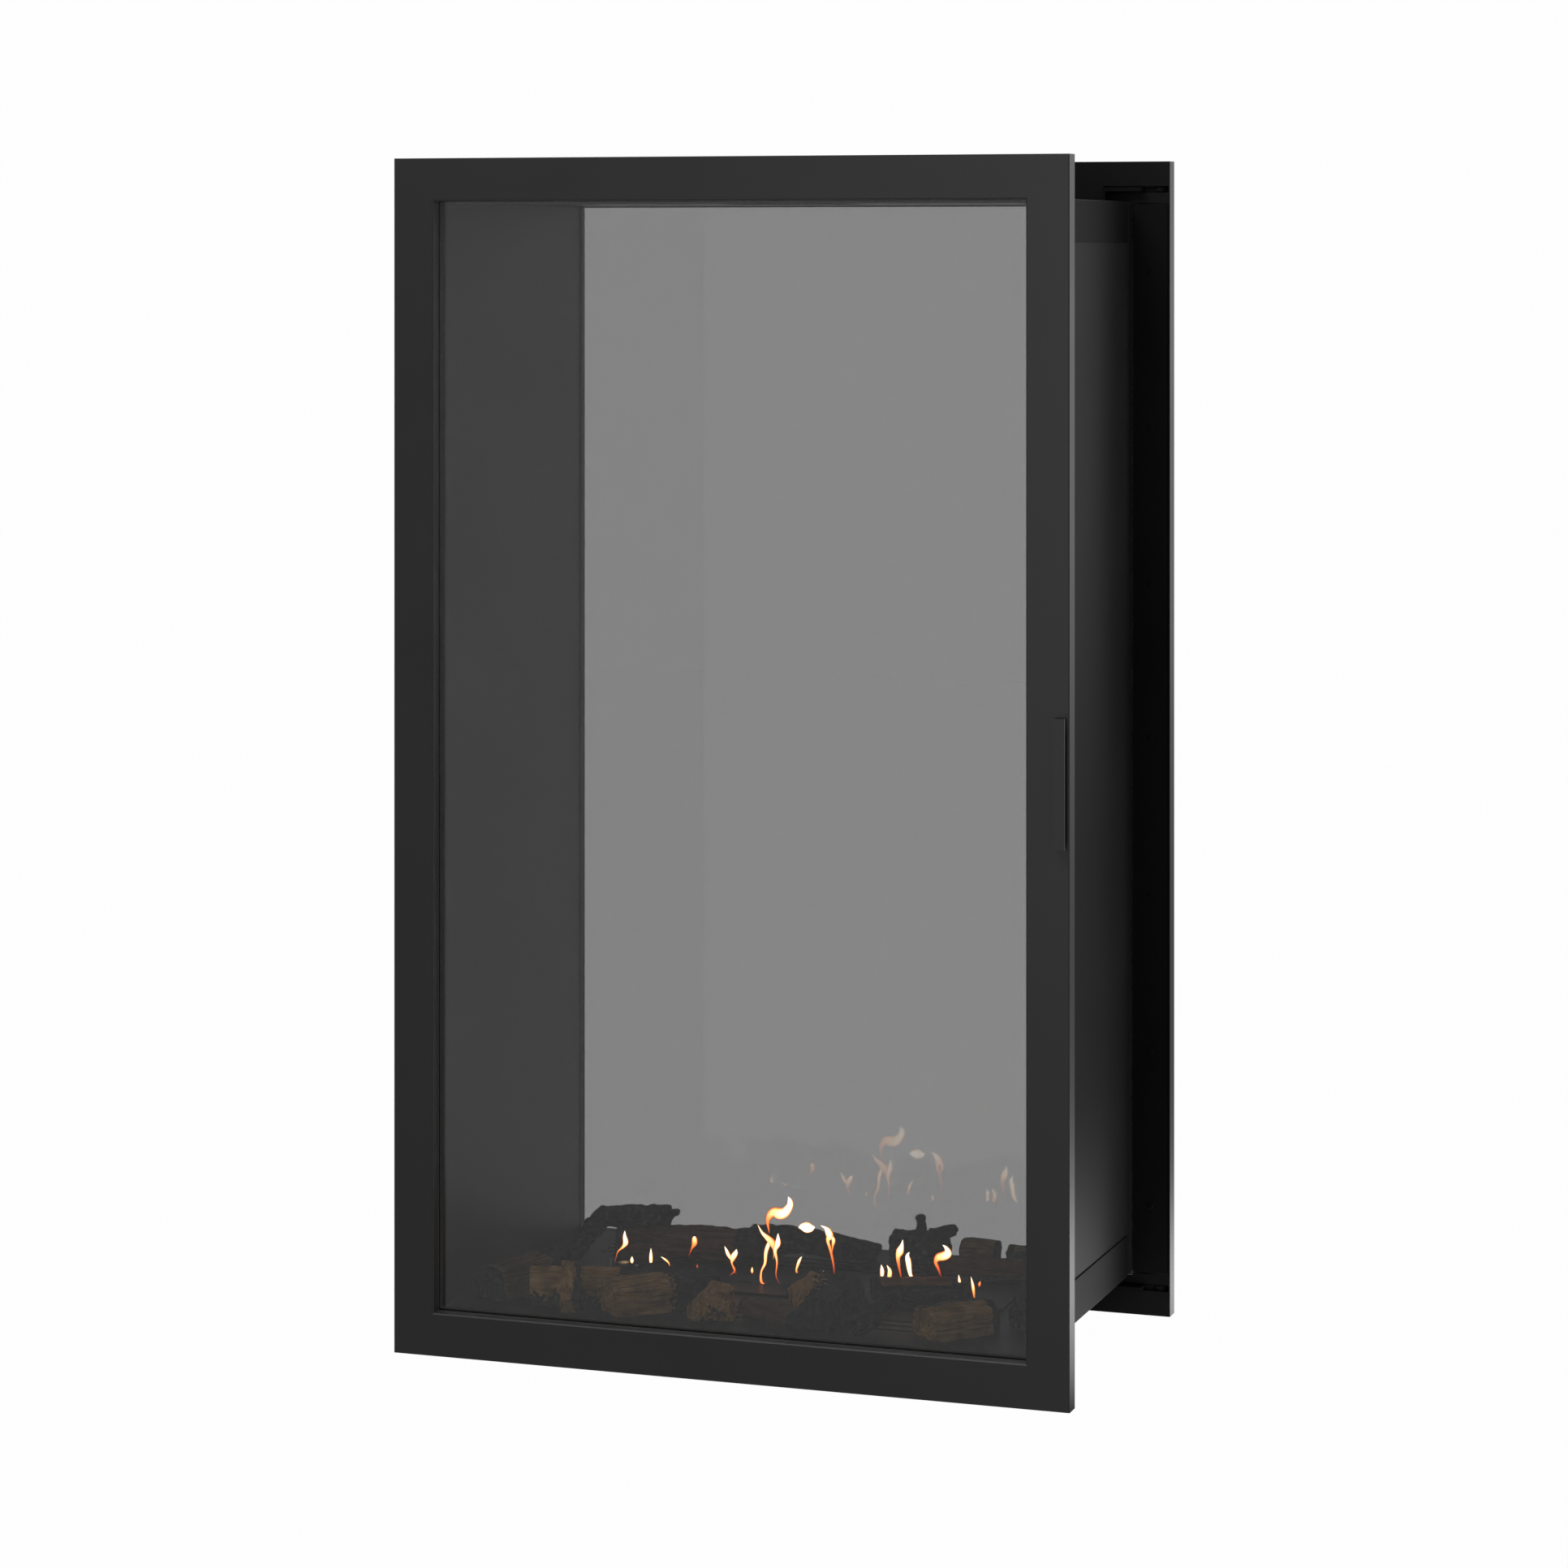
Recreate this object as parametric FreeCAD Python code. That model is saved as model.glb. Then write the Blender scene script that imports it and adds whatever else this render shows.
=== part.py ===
import FreeCAD, Part
import math
import os
from FreeCAD import Vector

# Double-sided built-in fireplace, in millimetres. The origin is the centre of the firebox's underside,
# +Z is up and the front door faces -Y. Both doors have their pivots on the left as one faces them.

# Door leaves: hollow frames of folded sheet
leaf_width = 702.0
leaf_height = 1200.0
leaf_depth = 20.0
bar_width = 43.0
leaf_sheet = 1.5
reveal_depth = 13.0
edge_chamfer = 1.2
seat_clearance = 1.5

# Glazing
glass_thickness = 4.0
glass_lap = 10.0
tape_thickness = 1.0
tape_lap = 8.0
clamp_width = 37.0
clamp_sheet = 1.5
clamp_gap = 1.0
clamp_end_gap = 1.0

# Pull handle on the free stile, open towards the leaf's edge
handle_height = 125.0
handle_width = 11.3
handle_depth = 12.5
handle_leg = 4.5
handle_plate = 2.5
handle_edge_gap = 1.6

# Concealed pivots
pivot_inset = 12.0
pivot_depth = 10.0
pin_radius = 4.0
pin_flats = 13.0
pin_clearance = 0.05
pin_tail = 2.0
pivot_play = 0.3
hinge_plate = 4.0
hinge_clearance = 2.0
eye_margin = 4.0
arm_half_width = 5.5
neck_offset = 16.0
neck_reach = 58.0
foot_length = 24.0
foot_margin = 1.5
hinge_slot_margin = 1.5

# Magnetic catch on the top cover, reaching into the top rail
catch_place = 200.0
catch_width = 40.0
catch_height = 18.0
catch_grip = 22.0
catch_gap = 0.3
catch_clearance = 2.5
catch_slope_share = 0.55

# Firebox: a liner tube between the two leaves, held by a base tray and a top cover
wall_depth = 376.0
liner_sheet = 2.0
band_sheet = 1.5
band_height = 43.0
band_setback = 14.4
seal_overhang = 1.5
seal_clearance = 0.3

# Hearth slots and the air cut-outs below them
slot_width = 7.0
slot_length = 150.0
slot_bridge = 20.0
slots_per_row = 3
slot_rows = 3
slot_pitch = 18.0
slot_offset = 93.0
air_margin = 6.0

# Burner
burner_length = 440.0
burner_width = 60.0
burner_drop = 34.0
burner_sheet = 1.5
burner_flange = 11.0
burner_corner = 12.0
burner_clearance = 1.0
port_width = 3.0
port_length = 14.0
port_pitch = 20.0

# Gas inlet fitting on the plenum's end
inlet_flats = 24.0
inlet_length = 18.0
inlet_bore_radius = 6.1
inlet_bore_depth = 14.0
inlet_jet_radius = 1.5
inlet_spigot_radius = 8.0
inlet_spigot_reach = 6.0
inlet_clearance = 0.2

# Pilot set beside the burner
pilot_inset = 148.0
pilot_gap = 12.0
pilot_plate_length = 46.0
pilot_plate_width = 24.0
pilot_plate_sheet = 1.5
pilot_margin = 5.0
pilot_spacing = 14.0
pilot_tail = 12.0
pilot_clearance = 0.2
nut_height = 4.0
nut_rim = 2.0
burner_tube_radius = 4.0
burner_tube_height = 20.0
hood_rim = 1.5
hood_height = 8.0
hood_window = 5.0
ceramic_radius = 2.5
ceramic_height = 20.0
spark_wire_radius = 0.8
spark_wire_height = 10.0
sensor_radius = 2.0
sensor_height = 26.0

# Flue spigot on the top cover
flue_radius = 75.0
flue_wall = 1.5
flue_height = 38.0
flue_flange = 15.0

# Log set
log_girth = 44.0
log_seat_gap = 0.25

# Cutting tools run past the faces they cut by this much
overrun = 5.0

# Sizes that follow from the ones above
leaf_drop = bar_width - leaf_sheet
box_width = leaf_width - 2 * leaf_drop
box_height = leaf_height - 2 * leaf_drop
leaf_bottom = -leaf_drop
leaf_top = leaf_bottom + leaf_height
leaf_side = leaf_width / 2
leaf_back = -wall_depth / 2
leaf_face = leaf_back - leaf_depth
glass_front = leaf_face + reveal_depth + tape_thickness
glass_back = glass_front + glass_thickness
glass_inset = bar_width - glass_lap
pane_top = leaf_top - glass_inset
clamp_low = leaf_bottom + bar_width + clamp_end_gap
clamp_high = leaf_top - bar_width - clamp_end_gap
hinge_high = leaf_bottom + glass_inset - hinge_clearance
hinge_low = hinge_high - hinge_plate
catch_low = pane_top + catch_clearance
catch_high = catch_low + catch_height
band_end = leaf_back + band_setback
liner_side = box_width / 2 - band_sheet
hearth_side = liner_side - liner_sheet
hearth_width = 2 * hearth_side
hearth_top = band_sheet + liner_sheet
ceiling_bottom = box_height - band_sheet - liner_sheet
flange_top = hearth_top + burner_sheet
deck_top = flange_top + burner_sheet
flange_length = burner_length + 2 * burner_flange
flange_width = burner_width + 2 * burner_flange
pilot_x = pilot_inset - hearth_side
pilot_y = -(flange_width / 2 + pilot_gap + pilot_plate_width / 2)
pilot_top = hearth_top + pilot_plate_sheet
pivot_x = -leaf_side + pivot_inset
pivot_y = leaf_face + pivot_depth

# Log cross-sections, as shares of each log's width and height
split_shares = ((-0.5, -0.45), (0.46, -0.5), (0.5, 0.05), (0.2, 0.5), (-0.38, 0.36))
bark_shares = ((0.5, 0.02), (0.33, 0.4), (-0.08, 0.5), (-0.42, 0.3), (-0.5, -0.12), (-0.25, -0.46), (0.24, -0.48))
block_shares = ((-0.5, -0.5), (0.5, -0.46), (0.44, 0.42), (-0.1, 0.5), (-0.47, 0.3))

# Places of the sections along each stretch of a log, and how much the log swells there
station_shares = (0.0, 0.4, 0.75)
swell_shares = (0.94, 1.0, 0.97, 0.93, 1.02, 0.98, 0.9)

# Each log: outline, width and height at its two ends as shares of the girth, then the points of its axis,
# across and along the hearth as shares of its width and depth, and above it as shares of the girth
log_shares = {
    "log_left_corner": (split_shares, (0.9, 0.8), (0.85, 0.85), ((-0.448, -0.4, 0.38), (-0.385, -0.14, 0.42))),
    "log_left_split": (split_shares, (0.8, 0.9), (0.85, 0.9), ((-0.37, -0.395, 0.43), (-0.176, -0.3, 0.42))),
    "log_front_split": (block_shares, (0.9, 0.85), (0.9, 0.85), ((-0.225, -0.43, 0.4), (-0.09, -0.21, 0.4))),
    "log_middle_stub": (split_shares, (1.15, 0.65), (0.85, 0.7), ((-0.05, -0.42, 0.28), (-0.062, -0.29, 0.36))),
    "log_low_front": (bark_shares, (0.75, 0.55), (0.7, 0.52), ((0.0, -0.33, 0.24), (0.108, -0.44, 0.24))),
    "log_centre_split": (split_shares, (0.85, 0.85), (2.1, 0.95), ((0.138, -0.425, 0.38), (0.1, -0.17, 0.42))),
    "log_burner_right": (block_shares, (0.65, 0.55), (0.6, 0.5), ((0.16, -0.085, 0.3), (0.305, 0.03, 0.3))),
    "log_front_right": (block_shares, (1.0, 0.75), (1.0, 0.75), ((0.309, -0.404, 0.34), (0.39, -0.25, 0.34))),
    "log_right_corner": (split_shares, (0.7, 0.75), (0.75, 0.8), ((0.44, -0.24, 0.36), (0.466, -0.06, 0.38))),
    "log_back_left": (bark_shares, (0.85, 0.9), (0.85, 0.9), ((-0.352, 0.17, 0.42), (-0.115, 0.255, 0.42))),
    "log_back_bark": (bark_shares, (0.65, 0.5), (0.7, 0.55), ((0.185, 0.245, 0.24), (0.44, 0.315, 0.25))),
    "log_back_charred": (bark_shares, (0.85, 0.8), (0.8, 0.45),
                         ((-0.14, 0.335, 0.36), (-0.05, 0.35, 0.44), (0.08, 0.37, 0.19))),
    "log_back_knot": (split_shares, (0.85, 0.85), (0.8, 0.75), ((0.105, 0.375, 0.4), (0.205, 0.39, 0.38))),
    "log_back_right": (block_shares, (0.75, 0.68), (0.75, 0.68), ((0.225, 0.395, 0.34), (0.29, 0.405, 0.34))),
    "log_back_corner": (split_shares, (0.75, 0.65), (0.8, 0.8), ((0.31, 0.385, 0.3), (0.45, 0.4, 0.38))),
    "log_left_stub": (block_shares, (0.5, 0.5), (0.48, 0.5), ((-0.281, -0.47, 0.2), (-0.306, -0.36, 0.85))),
    "log_front_branch": (bark_shares, (0.5, 0.5), (0.45, 0.4),
                         ((0.203, -0.445, 0.2), (0.236, -0.27, 0.6), (0.33, -0.17, 0.42))),
    "log_left_branch": (bark_shares, (0.5, 0.5), (0.6, 0.55),
                        ((-0.415, 0.04, 0.17), (-0.375, 0.165, 1.02), (-0.257, 0.185, 1.1))),
}

# Knots and broken twigs moulded onto some of the logs, written in the same way
twig_shares = {
    "log_back_knot": (
        (bark_shares, (0.26, 0.26), (0.14, 0.14), ((0.157, 0.383, 0.55), (0.154, 0.383, 1.13))),
        (bark_shares, (0.34, 0.3), (0.22, 0.24), ((0.165, 0.383, 0.68), (0.217, 0.383, 0.88)))),
    "log_left_branch": (
        (bark_shares, (0.2, 0.18), (0.15, 0.15), ((-0.285, 0.185, 1.16), (-0.243, 0.186, 1.2))),),
}

pieces = {}


def slab(x0, x1, y0, y1, z0, z1):
    return Part.makeBox(x1 - x0, y1 - y0, z1 - z0, Vector(x0, y0, z0))


def rod(x, y, z0, z1, radius):
    return Part.makeCylinder(radius, z1 - z0, Vector(x, y, z0))


def rounded_slab(length, width, radius, z0, z1):
    # Upright prism with rounded corners, centred on the origin
    solid = slab(-length / 2, length / 2, -width / 2, width / 2, z0, z1)
    upright = [edge for edge in solid.Edges if edge.Vertexes[0].X == edge.Vertexes[1].X
               and edge.Vertexes[0].Y == edge.Vertexes[1].Y]
    return solid.makeFillet(radius, upright)


def upright_slab(x, y, length, width, z0, z1):
    return slab(x - length / 2, x + length / 2, y - width / 2, y + width / 2, z0, z1)


def hexagon(flats):
    # Corners of a hexagon across its flats, first and last alike
    corner = flats / math.sqrt(3)
    turns = [math.radians(60 * step) for step in range(7)]
    return [(corner * math.cos(turn), corner * math.sin(turn)) for turn in turns]


def hexagon_rod(x, y, z0, z1, flats):
    outline = Part.makePolygon([Vector(x + u, y + v, z0) for u, v in hexagon(flats)])
    return Part.Face(outline).extrude(Vector(0, 0, z1 - z0))


def inset_block(inset, y0, y1):
    # The leaf's outline drawn in by an inset on all four sides
    return slab(-leaf_side + inset, leaf_side - inset, y0, y1, leaf_bottom + inset, leaf_top - inset)


def ring(outer_inset, inner_inset, y0, y1):
    return inset_block(outer_inset, y0, y1).cut(inset_block(inner_inset, y0 - overrun, y1 + overrun))


def turned(shape):
    # Half a turn about the upright axis: the rear door is the front one facing the other way
    copy = shape.copy()
    copy.rotate(Vector(0, 0, 0), Vector(0, 0, 1), 180)
    return copy


def flip_height(shape):
    return shape.mirror(Vector(0, 0, box_height / 2), Vector(0, 0, 1))


def on_both_sides(name, shape):
    pieces["front_" + name] = shape
    pieces["rear_" + name] = turned(shape)


def edges_on_face(solid, inside):
    # Front edges of the leaf: those of its outline, or those of its opening
    found = []
    for edge in solid.Edges:
        box = edge.BoundBox
        flat = abs(box.YMin - leaf_face) < edge_chamfer / 2 and box.YLength < edge_chamfer / 2
        middle = box.Center
        in_opening = (abs(middle.x) < leaf_side - bar_width / 2
                      and leaf_bottom + bar_width / 2 < middle.z < leaf_top - bar_width / 2)
        if flat and in_opening == inside:
            found.append(edge)
    return found


def leaf_cuts():
    # Openings in the back of the leaf: one over the firebox's end, a window for each clamp, slots that the
    # hinge arms swing out through and a notch for the catch
    near, far = leaf_back - leaf_sheet - overrun, leaf_back + overrun
    window_low, window_high = clamp_low - clamp_end_gap, clamp_high + clamp_end_gap
    sheet_side = leaf_side - leaf_sheet
    cuts = [inset_block(leaf_drop - seat_clearance, glass_back, far),
            slab(-sheet_side, sheet_side, glass_back, far, window_low, window_high)]
    arm_end = pivot_x + neck_reach + hinge_slot_margin
    arm_slot = slab(-sheet_side, arm_end, near, far, hinge_low - hinge_slot_margin, hinge_high + hinge_slot_margin)
    catch_reach = catch_width / 2 + catch_clearance
    catch_notch = slab(catch_place - catch_reach, catch_place + catch_reach, near, far,
                       catch_low - catch_clearance, catch_high + catch_clearance)
    return cuts + [arm_slot, flip_height(arm_slot), catch_notch]


def leaf_shell():
    # A hollow ring of folded sheet whose inner return stops short as the seat of the pane
    block = inset_block(0, leaf_face, leaf_back)
    block = block.makeChamfer(edge_chamfer, edges_on_face(block, False))
    block = block.cut(inset_block(bar_width, leaf_face - overrun, leaf_back + overrun))
    block = block.makeChamfer(edge_chamfer, edges_on_face(block, True))
    hollow = ring(leaf_sheet, leaf_drop, leaf_face + leaf_sheet, leaf_back - leaf_sheet)
    seat = inset_block(leaf_drop, leaf_face + reveal_depth, leaf_back + overrun)
    shell = block.cut(hollow).cut(seat)
    for cut in leaf_cuts():
        shell = shell.cut(cut)
    return shell


def leaf_bars():
    shell = leaf_shell()
    inner = leaf_side - bar_width
    middle = box_height / 2
    low, high = leaf_bottom - overrun, leaf_top + overrun
    near, far = leaf_face - overrun, leaf_back + overrun
    on_both_sides("hinge_stile", shell.common(slab(-leaf_side - overrun, -inner, near, far, low, high)))
    on_both_sides("handle_stile", shell.common(slab(inner, leaf_side + overrun, near, far, low, high)))
    on_both_sides("bottom_rail", shell.common(slab(-inner, inner, near, far, low, middle)))
    on_both_sides("top_rail", shell.common(slab(-inner, inner, near, far, middle, high)))


def glazing():
    on_both_sides("glass", inset_block(glass_inset, glass_front, glass_back))
    on_both_sides("glass_tape", ring(bar_width - tape_lap, bar_width, leaf_face + reveal_depth, glass_front))
    # The clamp is an angle: its leg stands on the back of the face, its flange lies over the pane's edge
    outer = leaf_side - leaf_sheet - clamp_gap
    flange = slab(outer - clamp_width, outer, glass_back, glass_back + clamp_sheet, clamp_low, clamp_high)
    leg = slab(outer - clamp_sheet, outer, leaf_face + leaf_sheet, glass_back, clamp_low, clamp_high)
    clamp = flange.fuse(leg).removeSplitter()
    on_both_sides("handle_clamp", clamp)
    on_both_sides("hinge_clamp", clamp.mirror(Vector(0, 0, 0), Vector(1, 0, 0)))


def handle():
    right = leaf_side - handle_edge_gap
    left = right - handle_width
    front = leaf_face - handle_depth
    section = Part.makePolygon([
        Vector(left, leaf_face, 0), Vector(left, front, 0), Vector(right, front, 0),
        Vector(right, front + handle_plate, 0), Vector(left + handle_leg, front + handle_plate, 0),
        Vector(left + handle_leg, leaf_face, 0), Vector(left, leaf_face, 0)])
    bar = Part.Face(section).extrude(Vector(0, 0, handle_height))
    bar.translate(Vector(0, 0, (box_height - handle_height) / 2))
    on_both_sides("handle", bar)


def pivots():
    # Each pin's hexagon head stands on the leaf's end return and its tail turns in the bracket's eye
    low, high = hinge_low, hinge_high
    head_top = low - pivot_play
    head = hexagon_rod(pivot_x, pivot_y, leaf_bottom + leaf_sheet, head_top, pin_flats)
    pin = head.fuse(rod(pivot_x, pivot_y, head_top, high + pin_tail, pin_radius))
    on_both_sides("pivot_pins", Part.makeCompound([pin, flip_height(pin)]))

    # The bracket steps up from the eye to a foot under the hearth, in front of the base tray
    eye_radius = pin_radius + eye_margin
    front = pivot_y - arm_half_width
    foot_front = leaf_back + foot_margin
    foot_back = band_end - foot_margin
    end = pivot_x + neck_reach
    arm = rod(pivot_x, pivot_y, low, high, eye_radius)
    arm = arm.fuse(slab(pivot_x, end, front, pivot_y + arm_half_width, low, high))
    arm = arm.fuse(slab(pivot_x + neck_offset, end, front, foot_back, low, high))
    web = slab(end - hinge_plate, end, foot_front, foot_back, low, band_sheet)
    foot = slab(end - hinge_plate, end + foot_length, foot_front, foot_back, band_sheet - hinge_plate, band_sheet)
    eye = rod(pivot_x, pivot_y, low - overrun, high + overrun, pin_radius + pin_clearance)
    bracket = arm.fuse(web).fuse(foot).cut(eye).removeSplitter()
    on_both_sides("hinge_bottom", bracket)
    on_both_sides("hinge_top", flip_height(bracket))


def catches():
    front = leaf_face + leaf_sheet + catch_gap
    back = band_end + catch_grip
    slope = box_height + (catch_high - box_height) * catch_slope_share
    x0 = catch_place - catch_width / 2
    profile = Part.makePolygon([
        Vector(x0, back, box_height), Vector(x0, band_end, box_height), Vector(x0, band_end, catch_low),
        Vector(x0, front, catch_low), Vector(x0, front, catch_high), Vector(x0, band_end, catch_high),
        Vector(x0, back, slope), Vector(x0, back, box_height)])
    on_both_sides("catch", Part.Face(profile).extrude(Vector(catch_width, 0, 0)))


def folded_channel():
    # Base tray before its cut-outs: a flat bottom with upturned bands, bent round the sheet's own thickness
    half = box_width / 2
    sheet = band_sheet
    inner = half - sheet
    bend = sheet * math.sqrt(0.5)

    def at(x, z):
        return Vector(x, band_end, z)

    left_bend = Part.Arc(at(-half, sheet), at(-inner - bend, sheet - bend), at(-inner, 0)).toShape()
    right_bend = Part.Arc(at(inner, 0), at(inner + bend, sheet - bend), at(half, sheet)).toShape()
    straight = Part.makePolygon([at(half, sheet), at(half, band_height), at(inner, band_height), at(inner, sheet),
                                 at(-inner, sheet), at(-inner, band_height), at(-half, band_height),
                                 at(-half, sheet)])
    bottom = Part.makeLine(at(-inner, 0), at(inner, 0))
    outline = Part.Wire([left_bend, bottom, right_bend] + straight.Edges)
    return Part.Face(outline).extrude(Vector(0, -2 * band_end, 0))


def hearth_cuts(z0, z1):
    # Openings that the hearth plate and the base tray share: the burner and the pilot lines
    burner = rounded_slab(burner_length + 2 * burner_clearance, burner_width + 2 * burner_clearance,
                          burner_corner + burner_clearance, z0, z1)
    half_length = pilot_plate_length / 2 - pilot_margin
    half_width = pilot_plate_width / 2 - pilot_margin
    pilot = slab(pilot_x - half_length, pilot_x + half_length,
                 pilot_y - half_width, pilot_y + half_width, z0, z1)
    return [burner, pilot]


def firebox():
    row_length = slots_per_row * slot_length + (slots_per_row - 1) * slot_bridge
    first_slot = (slot_length - row_length) / 2
    last_row = slot_offset + (slot_rows - 1) * slot_pitch
    air_low = slot_offset - slot_width / 2 - air_margin
    air_high = last_row + slot_width / 2 + air_margin
    air_side = row_length / 2 + air_margin

    channel = folded_channel()
    tray = channel
    for cut in hearth_cuts(-overrun, hearth_top):
        tray = tray.cut(cut)
    for low, high in ((air_low, air_high), (-air_high, -air_low)):
        tray = tray.cut(slab(-air_side, air_side, low, high, -overrun, hearth_top))
    pieces["base_tray"] = tray

    hearth = slab(-hearth_side, hearth_side, leaf_back, -leaf_back, band_sheet, hearth_top)
    for cut in hearth_cuts(-overrun, hearth_top + overrun):
        hearth = hearth.cut(cut)
    slots = []
    for row in range(slot_rows):
        for side in (-1, 1):
            for place in range(slots_per_row):
                x = first_slot + place * (slot_length + slot_bridge)
                y = side * (slot_offset + row * slot_pitch)
                slots.append(upright_slab(x, y, slot_length, slot_width, -overrun, hearth_top + overrun))
    pieces["hearth_plate"] = hearth.cut(Part.makeCompound(slots))

    flue_hole = rod(0, 0, ceiling_bottom - overrun, box_height + overrun, flue_radius - flue_wall)
    pieces["top_cover"] = flip_height(channel).cut(flue_hole)
    ceiling = slab(-hearth_side, hearth_side, leaf_back, -leaf_back, ceiling_bottom, box_height - band_sheet)
    pieces["ceiling_plate"] = ceiling.cut(flue_hole)

    wall = slab(-liner_side, -hearth_side, leaf_back, -leaf_back, band_sheet, box_height - band_sheet)
    pieces["left_wall"] = wall
    pieces["right_wall"] = wall.mirror(Vector(0, 0, 0), Vector(1, 0, 0))

    liner_inset = leaf_drop + band_sheet
    on_both_sides("seal", ring(liner_inset - seal_overhang, liner_inset + liner_sheet + seal_overhang,
                               glass_back + seal_clearance, leaf_back))


def flue():
    inner = flue_radius - flue_wall
    outer = flue_radius + flue_flange
    foot = box_height + flue_wall
    top = box_height + flue_height
    profile = Part.makePolygon([
        Vector(inner, 0, box_height), Vector(outer, 0, box_height), Vector(outer, 0, foot),
        Vector(flue_radius, 0, foot), Vector(flue_radius, 0, top), Vector(inner, 0, top),
        Vector(inner, 0, box_height)])
    pieces["flue_spigot"] = Part.Face(profile).revolve(Vector(0, 0, 0), Vector(0, 0, 1), 360)


def burner():
    inlet_z = -burner_drop / 2
    left = -burner_length / 2
    tub = rounded_slab(burner_length, burner_width, burner_corner, -burner_drop, flange_top)
    rim = rounded_slab(flange_length, flange_width, burner_corner + burner_flange, hearth_top, flange_top)
    hollow = rounded_slab(burner_length - 2 * burner_sheet, burner_width - 2 * burner_sheet,
                          burner_corner - burner_sheet, burner_sheet - burner_drop, flange_top + overrun)
    inlet_hole = Part.makeCylinder(inlet_spigot_radius + inlet_clearance, burner_sheet + 2 * overrun,
                                   Vector(left - overrun, 0, inlet_z), Vector(1, 0, 0))
    pieces["burner_plenum"] = tub.fuse(rim).cut(hollow).cut(inlet_hole).removeSplitter()

    deck = rounded_slab(flange_length, flange_width, burner_corner + burner_flange, flange_top, deck_top)
    port_count = int((burner_length - 2 * burner_corner) / port_pitch)
    ports = []
    for place in range(port_count):
        x = (place - (port_count - 1) / 2) * port_pitch
        ports.append(upright_slab(x, 0, port_length, port_width, flange_top - overrun, deck_top + overrun))
    pieces["burner_deck"] = deck.cut(Part.makeCompound(ports))

    # Hexagon union with a short spigot through the plenum's end, bored for the supply pipe and then for the jet
    corners = [Vector(left, u, inlet_z + v) for u, v in hexagon(inlet_flats)]
    body = Part.Face(Part.makePolygon(corners)).extrude(Vector(-inlet_length, 0, 0))
    mouth = Vector(left - inlet_length, 0, inlet_z)
    reach = burner_sheet + inlet_spigot_reach
    body = body.fuse(Part.makeCylinder(inlet_spigot_radius, reach, Vector(left, 0, inlet_z), Vector(1, 0, 0)))
    bore = Part.makeCylinder(inlet_bore_radius, inlet_bore_depth, mouth, Vector(1, 0, 0))
    jet = Part.makeCylinder(inlet_jet_radius, inlet_length + reach + overrun, mouth, Vector(1, 0, 0))
    pieces["gas_inlet"] = body.cut(bore).cut(jet)


def pilot_stem(x, radius, height):
    # Round stem held by a hexagon nut on the pilot plate, with its tail below the base
    stem = rod(x, pilot_y, -pilot_tail, pilot_top + height, radius)
    return stem.fuse(hexagon_rod(x, pilot_y, pilot_top, pilot_top + nut_height, 2 * (radius + nut_rim)))


def pilot():
    half_length = pilot_plate_length / 2
    half_width = pilot_plate_width / 2
    plate = slab(pilot_x - half_length, pilot_x + half_length,
                 pilot_y - half_width, pilot_y + half_width, hearth_top, pilot_top)
    places = [pilot_x - pilot_spacing, pilot_x, pilot_x + pilot_spacing]
    for x, radius in zip(places, (ceramic_radius, burner_tube_radius, sensor_radius)):
        plate = plate.cut(rod(x, pilot_y, -overrun, pilot_top + overrun, radius + pilot_clearance))
    pieces["pilot_bracket"] = plate

    spark = pilot_stem(places[0], ceramic_radius, ceramic_height)
    wire_foot = pilot_top + ceramic_height
    wire = rod(places[0], pilot_y, wire_foot, wire_foot + spark_wire_height, spark_wire_radius)
    pieces["spark_electrode"] = spark.fuse(wire)

    tube = pilot_stem(places[1], burner_tube_radius, burner_tube_height)
    hood_foot = pilot_top + burner_tube_height
    hood_radius = burner_tube_radius + hood_rim
    hood = rod(places[1], pilot_y, hood_foot, hood_foot + hood_height, hood_radius)
    window_height = (hood_height - hood_window) / 2
    window = slab(places[1] - hood_radius, places[1] + hood_radius, pilot_y, pilot_y + hood_radius + overrun,
                  hood_foot + window_height, hood_foot + window_height + hood_window)
    pieces["pilot_burner"] = tube.fuse(hood).cut(window)

    pieces["flame_sensor"] = pilot_stem(places[2], sensor_radius, sensor_height)


def log_form(shares, growth):
    # Facets between sections square to the log's axis; growth makes the relief that later logs are cut by
    outline, first_shares, last_shares, axis_shares = shares
    points = [Vector(x * hearth_width, y * wall_depth, hearth_top + z * log_girth) for x, y, z in axis_shares]
    stations = []
    for start, end in zip(points, points[1:]):
        for share in station_shares:
            stations.append(start + (end - start) * share)
    stations.append(points[-1])
    rings = []
    last = len(stations) - 1
    for number, centre in enumerate(stations):
        along = stations[min(number + 1, last)] - stations[max(number - 1, 0)]
        along.normalize()
        across = Vector(0, 0, 1).cross(along).normalize()
        upward = along.cross(across)
        mix = number / last
        swell = swell_shares[number % len(swell_shares)]
        width = log_girth * swell * (first_shares[0] * (1 - mix) + last_shares[0] * mix) + 2 * growth
        height = log_girth * swell * (first_shares[1] * (1 - mix) + last_shares[1] * mix) + 2 * growth
        if number == 0:
            centre = centre - along * growth
        if number == last:
            centre = centre + along * growth
        rings.append([centre + across * (u * width) + upward * (v * height) for u, v in outline])
    facets = [rings[0], rings[-1]]
    for near, far in zip(rings, rings[1:]):
        for corner in range(len(outline)):
            before = corner - 1
            facets.append([near[before], near[corner], far[corner]])
            facets.append([near[before], far[corner], far[before]])
    faces = [Part.Face(Part.makePolygon(corners + corners[:1])) for corners in facets]
    log = Part.makeSolid(Part.makeShell(faces))
    if log.Volume < 0:
        log.reverse()
    return log


def log_with_twigs(name, growth):
    log = log_form(log_shares[name], growth)
    for shares in twig_shares.get(name, ()):
        log = log.fuse(log_form(shares, growth))
    return log


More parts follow.
